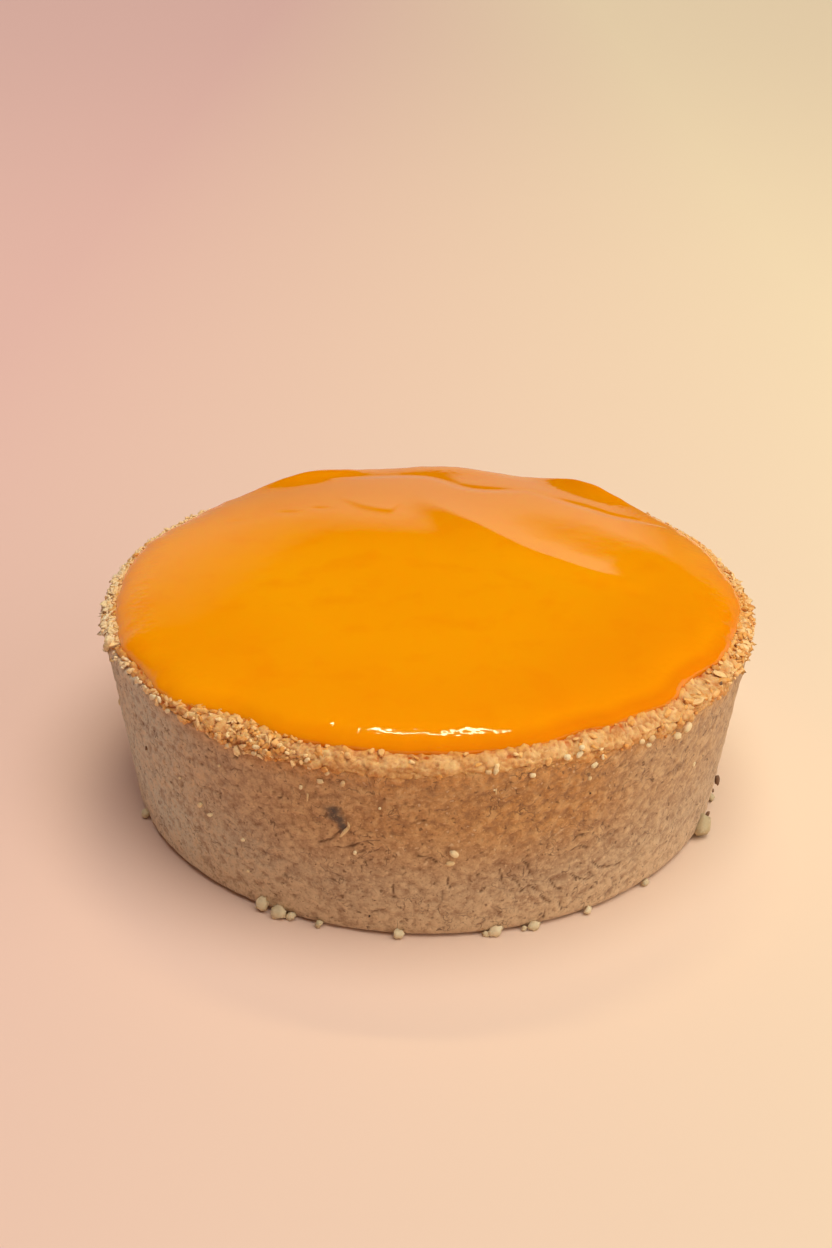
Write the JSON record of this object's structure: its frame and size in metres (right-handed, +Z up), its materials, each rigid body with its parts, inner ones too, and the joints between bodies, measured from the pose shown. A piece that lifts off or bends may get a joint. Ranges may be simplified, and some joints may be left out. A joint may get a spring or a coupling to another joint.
{
  "type": "mango tart",
  "caption": "Round individual tart: a pressed crumb crust with a ragged rim, filled to the top with glossy, gently domed mango gel.",
  "frame": {"origin": "centre of the crust's flat underside, on the surface that the tart stands on", "axes": "+Z up, -Y towards the camera of the picture, +X to its right"},
  "size_m": [0.0923, 0.0921, 0.0311],
  "materials": {
    "crumb_crust": "matt, coarse pressed crumb, paler at the rim",
    "mango_gel": "wet gloss"
  },
  "bodies": {
    "root": {"crust": "crumb_crust", "mango_gel": "mango_gel"}
  },
  "joints": []
}
